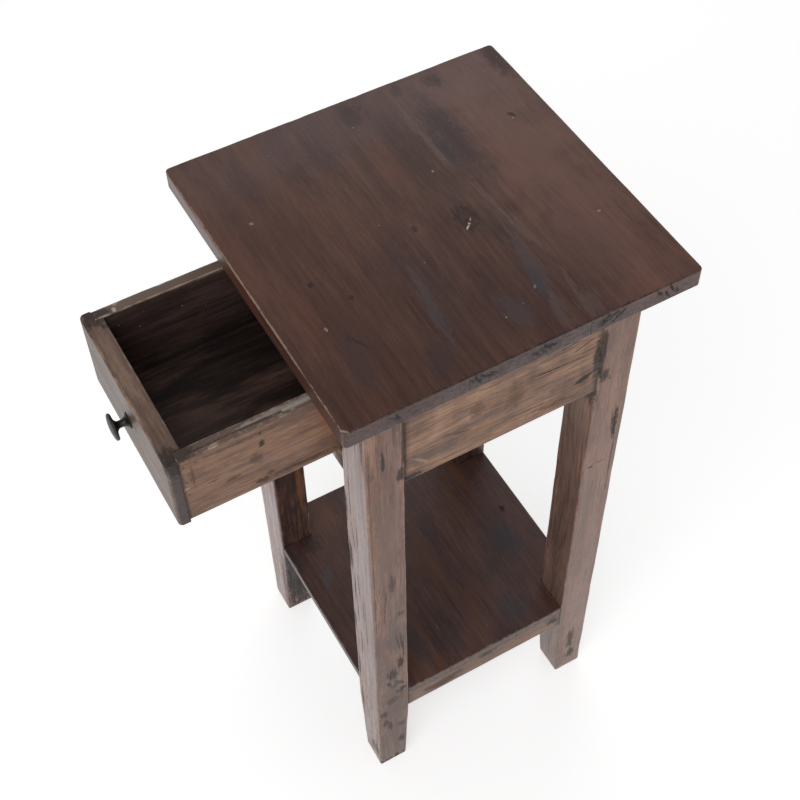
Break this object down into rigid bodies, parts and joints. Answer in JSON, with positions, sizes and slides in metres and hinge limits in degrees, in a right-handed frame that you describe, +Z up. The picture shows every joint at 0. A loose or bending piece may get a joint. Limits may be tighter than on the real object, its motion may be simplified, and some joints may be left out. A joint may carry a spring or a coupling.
{
  "type": "telephone table",
  "caption": "Small square wooden side table on tall legs with tapered feet, a boarded top, a low shelf and a sliding drawer with a turned iron knob.",
  "frame": {"origin": "on the floor, under the middle of the table top and of the four feet", "axes": "+Z up, -Y the way the drawer opens, +X to the right of someone who faces the drawer"},
  "size_m": [0.348, 0.4965, 0.75],
  "materials": {
    "top_wood": "dark stain, satin, arrises worn pale",
    "leg_wood": "grey-brown stain, satin",
    "rail_wood": "grey-brown stain, satin",
    "shelf_wood": "dark stain, satin",
    "drawer_front_wood": "brown stain, satin",
    "drawer_side_wood": "brown stain, satin",
    "drawer_bottom_wood": "dark stain, dull",
    "raw_wood": "unstained, sawn",
    "iron": "black, half matt",
    "steel": "dull",
    "filler": "pale wood filler, matt"
  },
  "bodies": {
    "table": {"top_board_front": "top_wood", "top_board_middle": "top_wood", "top_board_back": "top_wood", "top_nails": "steel", "top_fillers": "filler", "leg_front_left": "leg_wood", "leg_front_right": "leg_wood", "leg_back_left": "leg_wood", "leg_back_right": "leg_wood", "apron_left": "rail_wood", "apron_right": "rail_wood", "apron_back": "rail_wood", "front_top_rail": "rail_wood", "front_drawer_rail": "rail_wood", "shelf_rail_left": "rail_wood", "shelf_rail_right": "rail_wood", "shelf_board_front": "shelf_wood", "shelf_board_middle": "shelf_wood", "shelf_board_back": "shelf_wood", "drawer_runner_left": "raw_wood", "drawer_runner_right": "raw_wood", "drawer_guide_left": "raw_wood", "drawer_guide_right": "raw_wood", "drawer_kicker_left": "raw_wood", "drawer_kicker_right": "raw_wood", "runner_screws": "steel", "drawer_stop_left": "raw_wood", "drawer_stop_right": "raw_wood"},
    "drawer": {"drawer_front": "drawer_front_wood", "drawer_side_left": "drawer_side_wood", "drawer_side_right": "drawer_side_wood", "drawer_back": "drawer_side_wood", "drawer_bottom": "drawer_bottom_wood", "drawer_front_pins": "steel", "drawer_back_pins": "steel", "drawer_bottom_pins": "steel", "drawer_knob": "iron", "knob_screw": "steel"}
  },
  "joints": [
    {"name": "drawer_slide", "type": "slide", "parent": "table", "child": "drawer", "axis": [0, -1, 0], "range_m": [-0.159, 0.04]}
  ]
}
